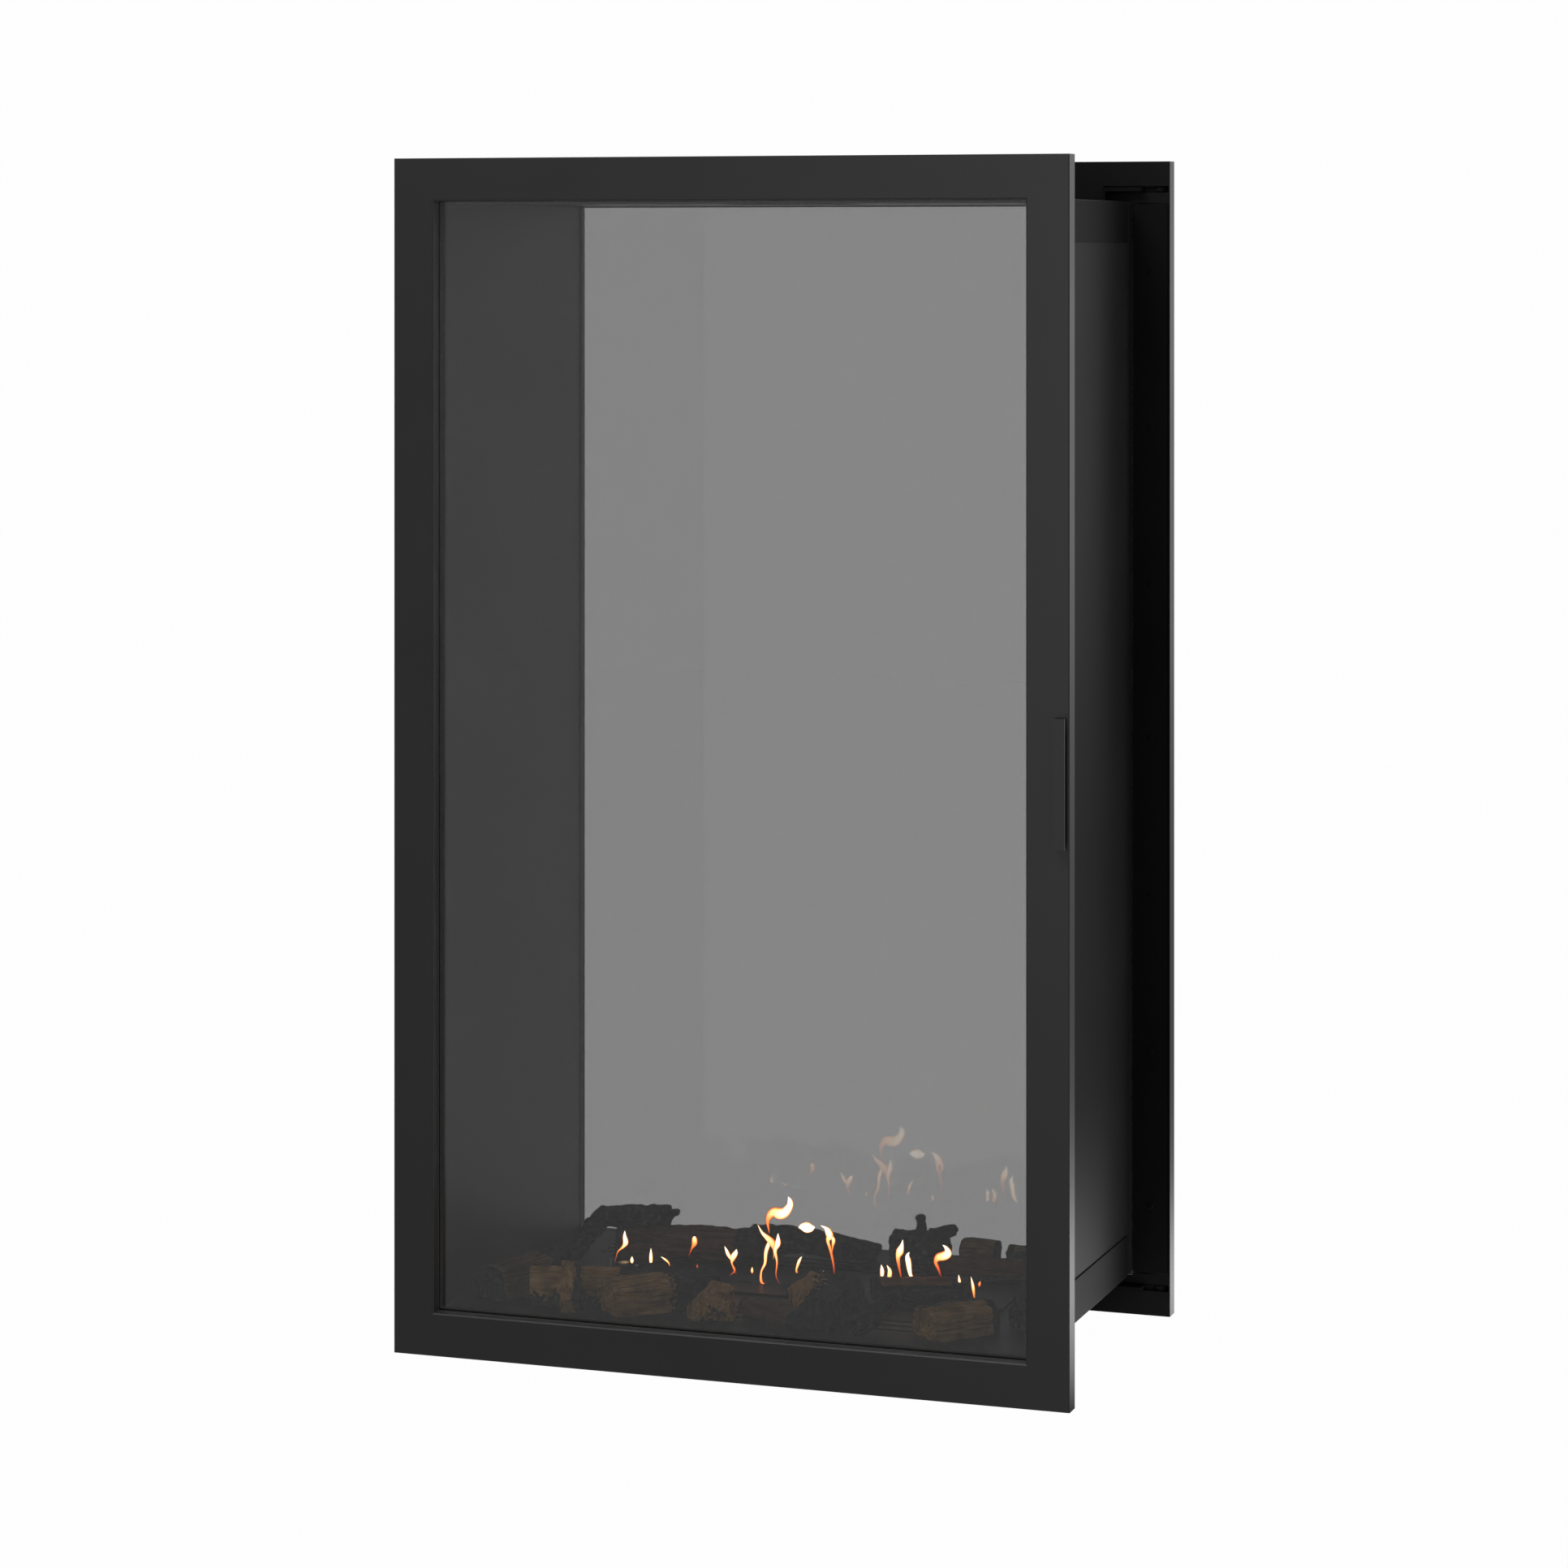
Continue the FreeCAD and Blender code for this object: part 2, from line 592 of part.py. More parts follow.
def log_set():
    # Every log has a flat seat on the hearth, and the later ones are notched where they lie on earlier ones
    floor = slab(-hearth_side, hearth_side, leaf_back, -leaf_back, -log_girth, hearth_top)
    half_length = flange_length / 2 + log_seat_gap
    half_width = flange_width / 2 + log_seat_gap
    burner_block = slab(-half_length, half_length, -half_width, half_width, hearth_top - overrun, deck_top)
    reliefs = [floor, burner_block]
    for name in log_shares:
        log = log_with_twigs(name, 0)
        for relief in reliefs:
            log = log.cut(relief)
        pieces[name] = max(log.Solids, key=lambda solid: solid.Volume)
        reliefs.append(log_with_twigs(name, log_seat_gap))


leaf_bars()
glazing()
handle()
pivots()
catches()
firebox()
flue()
burner()
pilot()
log_set()

os.makedirs("parts", exist_ok=True)
for name, shape in pieces.items():
    shape.exportStep("parts/" + name + ".step")
print(len(pieces), "pieces")
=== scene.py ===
import bpy
import bmesh
import math
from mathutils import Matrix, Vector, noise


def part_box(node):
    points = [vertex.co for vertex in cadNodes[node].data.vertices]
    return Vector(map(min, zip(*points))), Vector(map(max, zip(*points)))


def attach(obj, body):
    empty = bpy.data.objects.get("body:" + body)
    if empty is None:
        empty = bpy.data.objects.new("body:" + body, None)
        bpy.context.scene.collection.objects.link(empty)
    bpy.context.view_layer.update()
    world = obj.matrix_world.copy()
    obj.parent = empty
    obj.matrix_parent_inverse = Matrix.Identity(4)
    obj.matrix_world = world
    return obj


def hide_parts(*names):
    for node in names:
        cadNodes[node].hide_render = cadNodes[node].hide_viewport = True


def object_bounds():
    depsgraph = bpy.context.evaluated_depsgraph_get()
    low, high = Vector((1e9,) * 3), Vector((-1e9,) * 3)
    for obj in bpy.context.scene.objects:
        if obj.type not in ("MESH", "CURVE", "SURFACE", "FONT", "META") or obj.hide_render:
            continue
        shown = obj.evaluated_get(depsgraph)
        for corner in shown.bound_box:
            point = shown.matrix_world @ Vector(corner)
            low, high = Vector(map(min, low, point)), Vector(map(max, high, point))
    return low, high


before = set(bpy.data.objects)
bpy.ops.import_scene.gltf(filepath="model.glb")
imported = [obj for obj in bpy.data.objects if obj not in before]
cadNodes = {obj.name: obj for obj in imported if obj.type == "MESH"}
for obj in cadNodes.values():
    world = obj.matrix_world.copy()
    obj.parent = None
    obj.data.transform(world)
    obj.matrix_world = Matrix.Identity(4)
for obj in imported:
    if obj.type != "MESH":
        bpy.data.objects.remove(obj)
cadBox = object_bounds()
scene = bpy.context.scene
scene.view_settings.view_transform = "Standard"
mm = 0.001
doors = {"front": 1, "rear": -1}  # each door, and the way its back faces along y
mixShare, mixFirst, mixSecond, mixResult = 0, 6, 7, 2  # colour sockets of a Mix node
print("frame loaded:", len(cadNodes), "nodes")


# helpers

def linear(hexText):
    channels = [int(hexText[i:i + 2], 16) / 255 for i in (1, 3, 5)]
    return [c / 12.92 if c <= 0.04045 else ((c + 0.055) / 1.055) ** 2.4 for c in channels] + [1.0]


def newMaterial(name):
    material = bpy.data.materials.new(name)
    material.use_nodes = True
    material.node_tree.nodes.clear()
    return material


def addNode(material, kind, inputs=None, ramp=None, **settings):
    node = material.node_tree.nodes.new(kind)
    for key, value in settings.items():
        setattr(node, key, value)
    for key, value in (inputs or {}).items():
        if isinstance(value, bpy.types.NodeSocket):
            material.node_tree.links.new(value, node.inputs[key])
        else:
            node.inputs[key].default_value = value
    for number, (place, colour) in enumerate(ramp or []):
        stops = node.color_ramp.elements
        stop = stops[number] if number < 2 else stops.new(place)  # a new ramp already has two stops
        stop.position = place
        stop.color = linear(colour)
    return node


def perMm(size):
    return 1.0 / (size * mm)  # texture scale for a pattern of this size; pattern sizes are in millimetres


def corners(name):
    return [Vector(corner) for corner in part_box(name)]  # lowest and highest corner of a CAD node


def meshFrom(shape, name, smooth=True):
    for face in shape.faces:
        face.smooth = smooth
    mesh = bpy.data.meshes.new(name)
    shape.to_mesh(mesh)
    shape.free()
    return mesh


def finishPiece(name, mesh, body, material, replaced=()):
    piece = bpy.data.objects.new(name, mesh)
    scene.collection.objects.link(piece)
    mesh.materials.append(material)
    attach(piece, body)
    if replaced:
        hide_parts(*replaced)


def dress(material, *names):
    for name in names:
        cad = cadNodes[name]
        cad.data.materials.clear()
        cad.data.materials.append(material)


def beyondBox(material, centre, shares, start, end):
    # 0 inside a box round the centre, 1 outside it; shares are one over the half sizes, or 0 for no limit
    place = addNode(material, "ShaderNodeTexCoord")
    shifted = addNode(material, "ShaderNodeVectorMath", {0: place.outputs["Object"], 1: centre},
                      operation="SUBTRACT")
    scaled = addNode(material, "ShaderNodeVectorMath", {0: shifted.outputs["Vector"], 1: shares},
                     operation="MULTIPLY")
    span = addNode(material, "ShaderNodeVectorMath", {0: scaled.outputs["Vector"]}, operation="ABSOLUTE")
    axes = addNode(material, "ShaderNodeSeparateXYZ", {0: span.outputs["Vector"]})
    level = addNode(material, "ShaderNodeMath", {0: axes.outputs["X"], 1: axes.outputs["Y"]},
                    operation="MAXIMUM")
    farthest = addNode(material, "ShaderNodeMath", {0: level.outputs[0], 1: axes.outputs["Z"]},
                       operation="MAXIMUM")
    outside = addNode(material, "ShaderNodeMapRange", {
        "Value": farthest.outputs[0], "From Min": start, "From Max": end})
    return outside.outputs["Result"]


# painted sheet: satin heat-resistant black on folded steel, a fine orange-peel that breaks up the gloss, and
# painted light on the reveals round the pane

paintForm = {"cloud": 140, "glossier": 0.04, "duller": 0.05, "peelStrength": 0.25, "mattIor": 1.12,
             "litRevealEdge": (1.001, 1.002), "leafStep": (0.5, 0.7), "wallStep": (0.7, 0.9)}
openingSide = -corners("front_hinge_stile")[1].x
openingLow = corners("front_bottom_rail")[1].z
openingHigh = corners("front_top_rail")[0].z
leafBack = -corners("front_hinge_stile")[1].y
wallOutside = corners("right_wall")[1].x
leafMatt = [leafBack + step * mm for step in paintForm["leafStep"]]  # flat on the back, satin on the face
wallMatt = [wallOutside - step * mm for step in paintForm["wallStep"]]  # flat outside the walls, satin inside


def blackPaint(name, tones, roughness, peel=0.9, depth=0.02, ior=1.5, litRevealTones=None, matt=None):
    # the reveal round the pane gets lighter tones, painted light that stands in for light falling on it;
    # matt: axis, and where the paint is flat and where it is satin
    material = newMaterial(name)
    place = addNode(material, "ShaderNodeTexCoord")
    cloud = addNode(material, "ShaderNodeTexNoise", {
        "Vector": place.outputs["Object"], "Scale": perMm(paintForm["cloud"]), "Detail": 3})
    tone = addNode(material, "ShaderNodeValToRGB", {"Fac": cloud.outputs["Fac"]},
                   ramp=[(0.3, tones[0]), (0.7, tones[1])])
    colours = tone.outputs["Color"]
    # painted light: inside the opening the reveal is painted lighter than the bars, in place of the light
    # that falls on it
    if litRevealTones:
        centre = (0.0, 0.0, (openingLow + openingHigh) / 2)
        shares = (1 / openingSide, 0.0, 2 / (openingHigh - openingLow))
        bars = beyondBox(material, centre, shares, *paintForm["litRevealEdge"])
        paintedLightRamp = addNode(material, "ShaderNodeValToRGB", {"Fac": cloud.outputs["Fac"]},
                         ramp=[(0.3, litRevealTones[0]), (0.7, litRevealTones[1])])
        mixed = addNode(material, "ShaderNodeMix", {
            mixShare: bars, mixFirst: paintedLightRamp.outputs["Color"], mixSecond: colours}, data_type="RGBA")
        colours = mixed.outputs[mixResult]
    fine = addNode(material, "ShaderNodeTexNoise", {
        "Vector": place.outputs["Object"], "Scale": perMm(peel), "Detail": 2})
    gloss = addNode(material, "ShaderNodeMapRange", {
        "Value": cloud.outputs["Fac"], "To Min": roughness - paintForm["glossier"],
        "To Max": roughness + paintForm["duller"]})
    bump = addNode(material, "ShaderNodeBump", {
        "Height": fine.outputs["Fac"], "Strength": paintForm["peelStrength"], "Distance": depth * mm})
    sheen = ior
    if matt:
        axis, flat, satin = matt
        places = addNode(material, "ShaderNodeSeparateXYZ", {0: place.outputs["Object"]})
        off = addNode(material, "ShaderNodeMath", {0: places.outputs[axis]}, operation="ABSOLUTE")
        change = addNode(material, "ShaderNodeMapRange", {
            "Value": off.outputs[0], "From Min": flat, "From Max": satin,
            "To Min": paintForm["mattIor"], "To Max": ior})
        sheen = change.outputs["Result"]
    shader = addNode(material, "ShaderNodeBsdfPrincipled", {
        "Base Color": colours, "Roughness": gloss.outputs["Result"], "IOR": sheen,
        "Normal": bump.outputs["Normal"]})
    addNode(material, "ShaderNodeOutputMaterial", {"Surface": shader.outputs["BSDF"]})
    return material


# the lighter reveal tones of the satin paint are painted light on the reveal round the pane
leafPaint = blackPaint("satin_black_paint", ("#202020", "#232323"), 0.44, ior=1.6,
                       litRevealTones=("#404040", "#454545"), matt=("Y", *leafMatt))
boxPaint = blackPaint("firebox_black_paint", ("#181818", "#1c1c1c"), 0.5, ior=1.12)
linerPaint = blackPaint("liner_black_enamel", ("#2a2a2a", "#2f2f2f"), 0.42, matt=("X", *wallMatt))
hearthEnamel = blackPaint("hearth_black_enamel", ("#131313", "#171717"), 0.48, peel=1.6, depth=0.006, ior=1.2)


# ceramic glass: clear grey pane whose coating dims what is behind it and mirrors a little

paneSpec = {"tint": "#b9b9b9", "shade": "#c4c4c4", "ior": 1.56, "wave": 260, "waveStrength": 0.04,
            "waveDepth": 0.02}
ceramicGlass = newMaterial("coated_ceramic_glass")
panePlace = addNode(ceramicGlass, "ShaderNodeTexCoord")
paneWave = addNode(ceramicGlass, "ShaderNodeTexNoise", {
    "Vector": panePlace.outputs["Object"], "Scale": perMm(paneSpec["wave"])})
paneBump = addNode(ceramicGlass, "ShaderNodeBump", {
    "Height": paneWave.outputs["Fac"], "Strength": paneSpec["waveStrength"],
    "Distance": paneSpec["waveDepth"] * mm})
paneShader = addNode(ceramicGlass, "ShaderNodeBsdfPrincipled", {
    "Base Color": linear(paneSpec["tint"]), "Roughness": 0.0, "IOR": paneSpec["ior"],
    "Transmission Weight": 1.0, "Normal": paneBump.outputs["Normal"]})
paneRays = addNode(ceramicGlass, "ShaderNodeLightPath")
paneSoft = addNode(ceramicGlass, "ShaderNodeMath", {
    0: paneRays.outputs["Is Shadow Ray"], 1: paneRays.outputs["Is Diffuse Ray"]}, operation="MAXIMUM")
paneClear = addNode(ceramicGlass, "ShaderNodeBsdfTransparent", {"Color": linear(paneSpec["shade"])})
paneMix = addNode(ceramicGlass, "ShaderNodeMixShader", {
    0: paneSoft.outputs[0], 1: paneShader.outputs["BSDF"], 2: paneClear.outputs["BSDF"]})
addNode(ceramicGlass, "ShaderNodeOutputMaterial", {"Surface": paneMix.outputs["Shader"]})


# woven glass fibre: grey tape behind the reveals and pale seal round the liner, both painted near-black along
# their outer edge as painted shade for the gap they sit in

fibreForm = {"weave": 1.2, "edge": (0.9945, 0.9955), "strength": 0.6, "depth": 0.2, "roughness": 0.85}


def wovenFibre(name, tones, paintedShadeTones, ring):
    material = newMaterial(name)
    place = addNode(material, "ShaderNodeTexCoord")
    weave = addNode(material, "ShaderNodeTexVoronoi", {
        "Vector": place.outputs["Object"], "Scale": perMm(fibreForm["weave"])})
    tone = addNode(material, "ShaderNodeValToRGB", {"Fac": weave.outputs["Distance"]},
                   ramp=[(0.0, tones[0]), (0.8, tones[1])])
    rim = addNode(material, "ShaderNodeValToRGB", {"Fac": weave.outputs["Distance"]},
                  ramp=[(0.0, paintedShadeTones[0]), (0.8, paintedShadeTones[1])])
    low, high = corners(ring)
    centre = (0.0, 0.0, (low.z + high.z) / 2)
    shares = (2 / (high.x - low.x), 0.0, 2 / (high.z - low.z))
    # painted shade: outside the ring the fibre takes near-black tones where it sits in the shadowed gap
    # behind the frame
    paintedShadeMask = beyondBox(material, centre, shares, *fibreForm["edge"])
    both = addNode(material, "ShaderNodeMix", {
        mixShare: paintedShadeMask, mixFirst: tone.outputs["Color"], mixSecond: rim.outputs["Color"]}, data_type="RGBA")
    bump = addNode(material, "ShaderNodeBump", {
        "Height": weave.outputs["Distance"], "Strength": fibreForm["strength"],
        "Distance": fibreForm["depth"] * mm})
    shader = addNode(material, "ShaderNodeBsdfPrincipled", {
        "Base Color": both.outputs[mixResult], "Roughness": fibreForm["roughness"],
        "Normal": bump.outputs["Normal"]})
    addNode(material, "ShaderNodeOutputMaterial", {"Surface": shader.outputs["BSDF"]})
    return material


# the near-black outer tones of the tape and the seal are painted shade
paneTape = wovenFibre("woven_pane_tape", ("#8f8f8d", "#7a7a78"), ("#171717", "#101010"), "front_glass_tape")
sealRope = wovenFibre("woven_liner_seal", ("#b4b4b1", "#9a9a97"), ("#0e0e0e", "#090909"), "front_seal")


# bare metals: zinc-plated steel and turned brass, both with fine drawn marks

metalForm = {"marks": 0.7, "stretch": 0.08, "glossier": 0.08, "duller": 0.1}


def drawnMetal(name, tones, roughness):
    material = newMaterial(name)
    place = addNode(material, "ShaderNodeTexCoord")
    stretch = addNode(material, "ShaderNodeMapping", {
        "Vector": place.outputs["Object"], "Scale": (1.0, 1.0, metalForm["stretch"])})
    marks = addNode(material, "ShaderNodeTexNoise", {
        "Vector": stretch.outputs["Vector"], "Scale": perMm(metalForm["marks"]), "Detail": 4})
    tone = addNode(material, "ShaderNodeValToRGB", {"Fac": marks.outputs["Fac"]},
                   ramp=[(0.3, tones[0]), (0.7, tones[1])])
    gloss = addNode(material, "ShaderNodeMapRange", {
        "Value": marks.outputs["Fac"], "To Min": roughness - metalForm["glossier"],
        "To Max": roughness + metalForm["duller"]})
    shader = addNode(material, "ShaderNodeBsdfPrincipled", {
        "Base Color": tone.outputs["Color"], "Metallic": 1.0, "Roughness": gloss.outputs["Result"]})
    addNode(material, "ShaderNodeOutputMaterial", {"Surface": shader.outputs["BSDF"]})
    return material


zincSteel = drawnMetal("zinc_plated_steel", ("#a3a6aa", "#b9bcc0"), 0.34)
turnedBrass = drawnMetal("turned_brass", ("#a8853f", "#bf9a4f"), 0.3)


# glazed insulator: fired ceramic, a white glaze with faint specks

glazeSpec = {"speck": 1.5, "tones": ("#cfcabf", "#e4e0d6"), "roughness": 0.2}
glazedCeramic = newMaterial("glazed_insulator")
glazePlace = addNode(glazedCeramic, "ShaderNodeTexCoord")
glazeSpeck = addNode(glazedCeramic, "ShaderNodeTexNoise", {
    "Vector": glazePlace.outputs["Object"], "Scale": perMm(glazeSpec["speck"])})
glazeTone = addNode(glazedCeramic, "ShaderNodeValToRGB", {"Fac": glazeSpeck.outputs["Fac"]},
                    ramp=[(0.35, glazeSpec["tones"][0]), (0.6, glazeSpec["tones"][1])])
glazeShader = addNode(glazedCeramic, "ShaderNodeBsdfPrincipled", {
    "Base Color": glazeTone.outputs["Color"], "Roughness": glazeSpec["roughness"]})
addNode(glazedCeramic, "ShaderNodeOutputMaterial", {"Surface": glazeShader.outputs["BSDF"]})

leafPieces = ("_hinge_stile", "_handle_stile", "_top_rail", "_bottom_rail", "_handle")
fittings = ("_hinge_clamp", "_handle_clamp", "_hinge_top", "_hinge_bottom", "_catch", "_pivot_pins")
for door in doors:
    dress(leafPaint, *[door + piece for piece in leafPieces])
    dress(boxPaint, *[door + piece for piece in fittings])
    dress(ceramicGlass, door + "_glass")
    dress(paneTape, door + "_glass_tape")
    dress(sealRope, door + "_seal")
dress(boxPaint, "base_tray", "top_cover", "flue_spigot", "burner_plenum")
dress(linerPaint, "left_wall", "right_wall", "ceiling_plate")
dress(hearthEnamel, "hearth_plate", "burner_deck")
dress(turnedBrass, "gas_inlet", "pilot_burner")
dress(zincSteel, "pilot_bracket", "flame_sensor")
dress(glazedCeramic, "spark_electrode")
print("frame dressed")


# log set: moulded ceramic fibre, painted as split wood, bark and char

logTones = {
    "tan": ("#6e4c28", "#d2a363", "#e8c48b"),
    "brown": ("#3c2a1c", "#745033", "#8c6743"),
    "bark": ("#2a1d15", "#573c2b", "#6b4b37"),
    "olive": ("#382e1f", "#75603f", "#8e7751"),
}
charTones = ("#0d0e0f", "#1e2022", "#4a4c4d")
patchTones = ("#a9a29a", "#ffffff")
logForm = {"fibre": 3.6, "stretch": 0.09, "patch": 22, "block": 7, "ash": 5, "crack": 0.12,
           "charEdge": (0.9, 1.02), "crackStrength": 0.5, "crackDepth": 0.8, "fibreStrength": 0.8,
           "fibreDepth": 1.0, "roughness": 0.88}

# axis in millimetres; tone of the wood; share charred at the near and far ends; charred side and its reach;
# how rough the bark is; knob, the height over the hearth above which a log swells
logSpecs = {
    "log_left_corner": {
        "axis": ((-274, -150), (-236, -53)), "tone": "olive", "near": 0.1, "far": 0.3,
        "side": (0.3, -1, -0.6), "reach": 0.35, "rough": 1.6},
    "log_left_split": {
        "axis": ((-226, -149), (-108, -113)), "tone": "tan", "near": 0.0, "far": 0.35,
        "side": (0.1, -0.5, -0.85), "reach": 0.5, "rough": 1.2},
    "log_front_split": {
        "axis": ((-138, -162), (-55, -79)), "tone": "tan", "near": 0.0, "far": 0.6,
        "side": (0.2, 0.5, -0.8), "reach": 0.3, "rough": 1.2},
    "log_middle_stub": {
        "axis": ((-31, -158), (-38, -109)), "tone": "tan", "near": 0.0, "far": 0.0,
        "side": (0.3, -0.2, -0.95), "reach": 0.46, "rough": 1.3},
    "log_low_front": {
        "axis": ((0, -124), (66, -165)), "tone": "bark", "near": 0.05, "far": 0.1,
        "side": (0, 0, -1), "reach": 0.3, "rough": 1.5},
    "log_centre_split": {
        "axis": ((84, -160), (61, -64)), "tone": "tan", "near": 0.3, "far": 0.1,
        "side": (1, -0.5, 0.35), "reach": 0.62, "rough": 1.8},
    "log_burner_right": {
        "axis": ((98, -32), (187, 11)), "tone": "brown", "near": 0.1, "far": 0.25,
        "side": (0.3, -0.8, -0.8), "reach": 0.5, "rough": 1.2},
    "log_front_right": {
        "axis": ((189, -152), (239, -94)), "tone": "tan", "near": 0.0, "far": 0.15,
        "side": (-0.7, 0.5, 0.8), "reach": 0.4, "rough": 1.0},
    "log_right_corner": {
        "axis": ((269, -90), (285, -23)), "tone": "olive", "near": 0.5, "far": 0.4,
        "side": (-1, -0.4, 0), "reach": 0.6, "rough": 1.7},
    "log_back_left": {
        "axis": ((-215, 64), (-70, 96)), "tone": "bark", "near": 0.05, "far": 0.2,
        "side": (0, 0.5, -1), "reach": 0.25, "rough": 2.0},
    "log_back_bark": {
        "axis": ((113, 92), (269, 118)), "tone": "bark", "near": 0.1, "far": 0.1,
        "side": (0, -0.5, -1), "reach": 0.35, "rough": 1.6},
    "log_back_charred": {
        "axis": ((-86, 126), (49, 139)), "tone": "brown", "near": 0.4, "far": 0.2,
        "side": (-0.2, -1, -0.2), "reach": 0.95, "rough": 2.6},
    "log_back_knot": {
        "axis": ((64, 141), (125, 147)), "tone": "brown", "near": 0.4, "far": 0.4,
        "side": (0, -1, 0.2), "reach": 0.95, "rough": 2.0, "knob": 37},
    "log_back_right": {
        "axis": ((138, 149), (177, 152)), "tone": "olive", "near": 0.05, "far": 0.1,
        "side": (0, 0.4, -1), "reach": 0.4, "rough": 1.0},
    "log_back_corner": {
        "axis": ((190, 145), (275, 150)), "tone": "olive", "near": 0.1, "far": 0.3,
        "side": (0, -1, -0.5), "reach": 0.6, "rough": 1.5},
    "log_left_stub": {
        "axis": ((-172, -177), (-187, -135)), "tone": "tan", "near": 0.0, "far": 0.0,
        "side": (1, 0.1, 0), "reach": 0.6, "rough": 1.0},
    "log_front_branch": {
        "axis": ((124, -167), (202, -64)), "tone": "brown", "near": 0.3, "far": 0.3,
        "side": (0, -0.6, 0.6), "reach": 0.72, "rough": 2.0},
    "log_left_branch": {
        "axis": ((-254, 15), (-150, 70)), "tone": "brown", "near": 0.3, "far": 0.3,
        "side": (0, -0.6, 0.4), "reach": 0.9, "rough": 2.6},
}


def logMaterial(tone):
    # fibre lines follow the log's own axis; the char breaks into small dull blocks with patches of pale ash
    dark, middle, pale = logTones[tone]
    material = newMaterial("ceramic_log_" + tone)
    grain = addNode(material, "ShaderNodeAttribute", attribute_name="grain")
    burnt = addNode(material, "ShaderNodeAttribute", attribute_name="char")
    place = addNode(material, "ShaderNodeTexCoord")
    stretch = addNode(material, "ShaderNodeMapping", {
        "Vector": grain.outputs["Vector"], "Scale": (logForm["stretch"], 1.0, 1.0)})
    fibre = addNode(material, "ShaderNodeTexNoise", {
        "Vector": stretch.outputs["Vector"], "Scale": perMm(logForm["fibre"]), "Detail": 6,
        "Roughness": 0.65})
    patch = addNode(material, "ShaderNodeTexNoise", {
        "Vector": place.outputs["Object"], "Scale": perMm(logForm["patch"]), "Detail": 4})
    wood = addNode(material, "ShaderNodeValToRGB", {"Fac": fibre.outputs["Fac"]},
                   ramp=[(0.32, dark), (0.48, middle), (0.66, pale)])
    worn = addNode(material, "ShaderNodeValToRGB", {"Fac": patch.outputs["Fac"]},
                   ramp=[(0.3, patchTones[0]), (0.6, patchTones[1])])
    aged = addNode(material, "ShaderNodeMix", {
        mixShare: 1.0, mixFirst: wood.outputs["Color"], mixSecond: worn.outputs["Color"]},
        data_type="RGBA", blend_type="MULTIPLY")
    blocks = addNode(material, "ShaderNodeTexVoronoi", {
        "Vector": stretch.outputs["Vector"], "Scale": perMm(logForm["block"])}, feature="DISTANCE_TO_EDGE")
    ash = addNode(material, "ShaderNodeTexNoise", {
        "Vector": place.outputs["Object"], "Scale": perMm(logForm["ash"]), "Detail": 6})
    coal = addNode(material, "ShaderNodeValToRGB", {"Fac": ash.outputs["Fac"]},
                   ramp=[(0.35, charTones[0]), (0.56, charTones[1]), (0.74, charTones[2])])
    ragged = addNode(material, "ShaderNodeMath", {0: burnt.outputs["Fac"], 1: ash.outputs["Fac"]},
                     operation="ADD")
    cover = addNode(material, "ShaderNodeMapRange", {
        "Value": ragged.outputs[0], "From Min": logForm["charEdge"][0], "From Max": logForm["charEdge"][1]})
    skin = addNode(material, "ShaderNodeMix", {
        mixShare: cover.outputs["Result"], mixFirst: aged.outputs[mixResult],
        mixSecond: coal.outputs["Color"]}, data_type="RGBA")
    cracks = addNode(material, "ShaderNodeMapRange", {
        "Value": blocks.outputs["Distance"], "From Max": logForm["crack"]})
    coarse = addNode(material, "ShaderNodeBump", {
        "Height": cracks.outputs["Result"], "Strength": logForm["crackStrength"],
        "Distance": logForm["crackDepth"] * mm})
    fine = addNode(material, "ShaderNodeBump", {
        "Height": fibre.outputs["Fac"], "Normal": coarse.outputs["Normal"],
        "Strength": logForm["fibreStrength"], "Distance": logForm["fibreDepth"] * mm})
    shader = addNode(material, "ShaderNodeBsdfPrincipled", {
        "Base Color": skin.outputs[mixResult], "Roughness": logForm["roughness"],
        "Normal": fine.outputs["Normal"]})
    addNode(material, "ShaderNodeOutputMaterial", {"Surface": shader.outputs["BSDF"]})
    return material


logMaterials = {tone: logMaterial(tone) for tone in logTones}
hearthTop = corners("hearth_plate")[1].z

# weld, voxel, ridge, lump, knob and core in millimetres; rates per metre along, across and up;
# octaves as the noise function takes them; facing weighs the surface's direction and its place round the core
carving = {"weld": 0.02, "voxel": 1.2, "smooth": 0.5, "seed": (0.37, 0.11, 0.07),
           "ridge": 0.8, "ridgeRates": (26, 150, 150), "ridgeOctaves": (0.8, 2.1, 4),
           "lump": 1.2, "lumpRate": 45, "lumpOctaves": (0.8, 2.0, 3), "knob": 1.6, "core": 18,
           "facing": (0.55, 0.45), "sideChar": 0.9, "endChar": 2.0}


def denseCopy(node):
    # the CAD log, merged and remeshed finely enough to carve
    source = bmesh.new()
    source.from_mesh(cadNodes[node].data)
    bmesh.ops.remove_doubles(source, verts=source.verts, dist=carving["weld"] * mm)
    blank = meshFrom(source, node + "_blank", smooth=False)
    holder = bpy.data.objects.new(node + "_blank", blank)
    scene.collection.objects.link(holder)
    remesh = holder.modifiers.new("remesh", "REMESH")
    remesh.mode = "VOXEL"
    remesh.voxel_size = carving["voxel"] * mm
    dense = bpy.data.meshes.new_from_object(holder.evaluated_get(bpy.context.evaluated_depsgraph_get()))
    copy = bmesh.new()
    copy.from_mesh(dense)
    bpy.data.objects.remove(holder)
    bpy.data.meshes.remove(blank)
    bpy.data.meshes.remove(dense)
    return copy


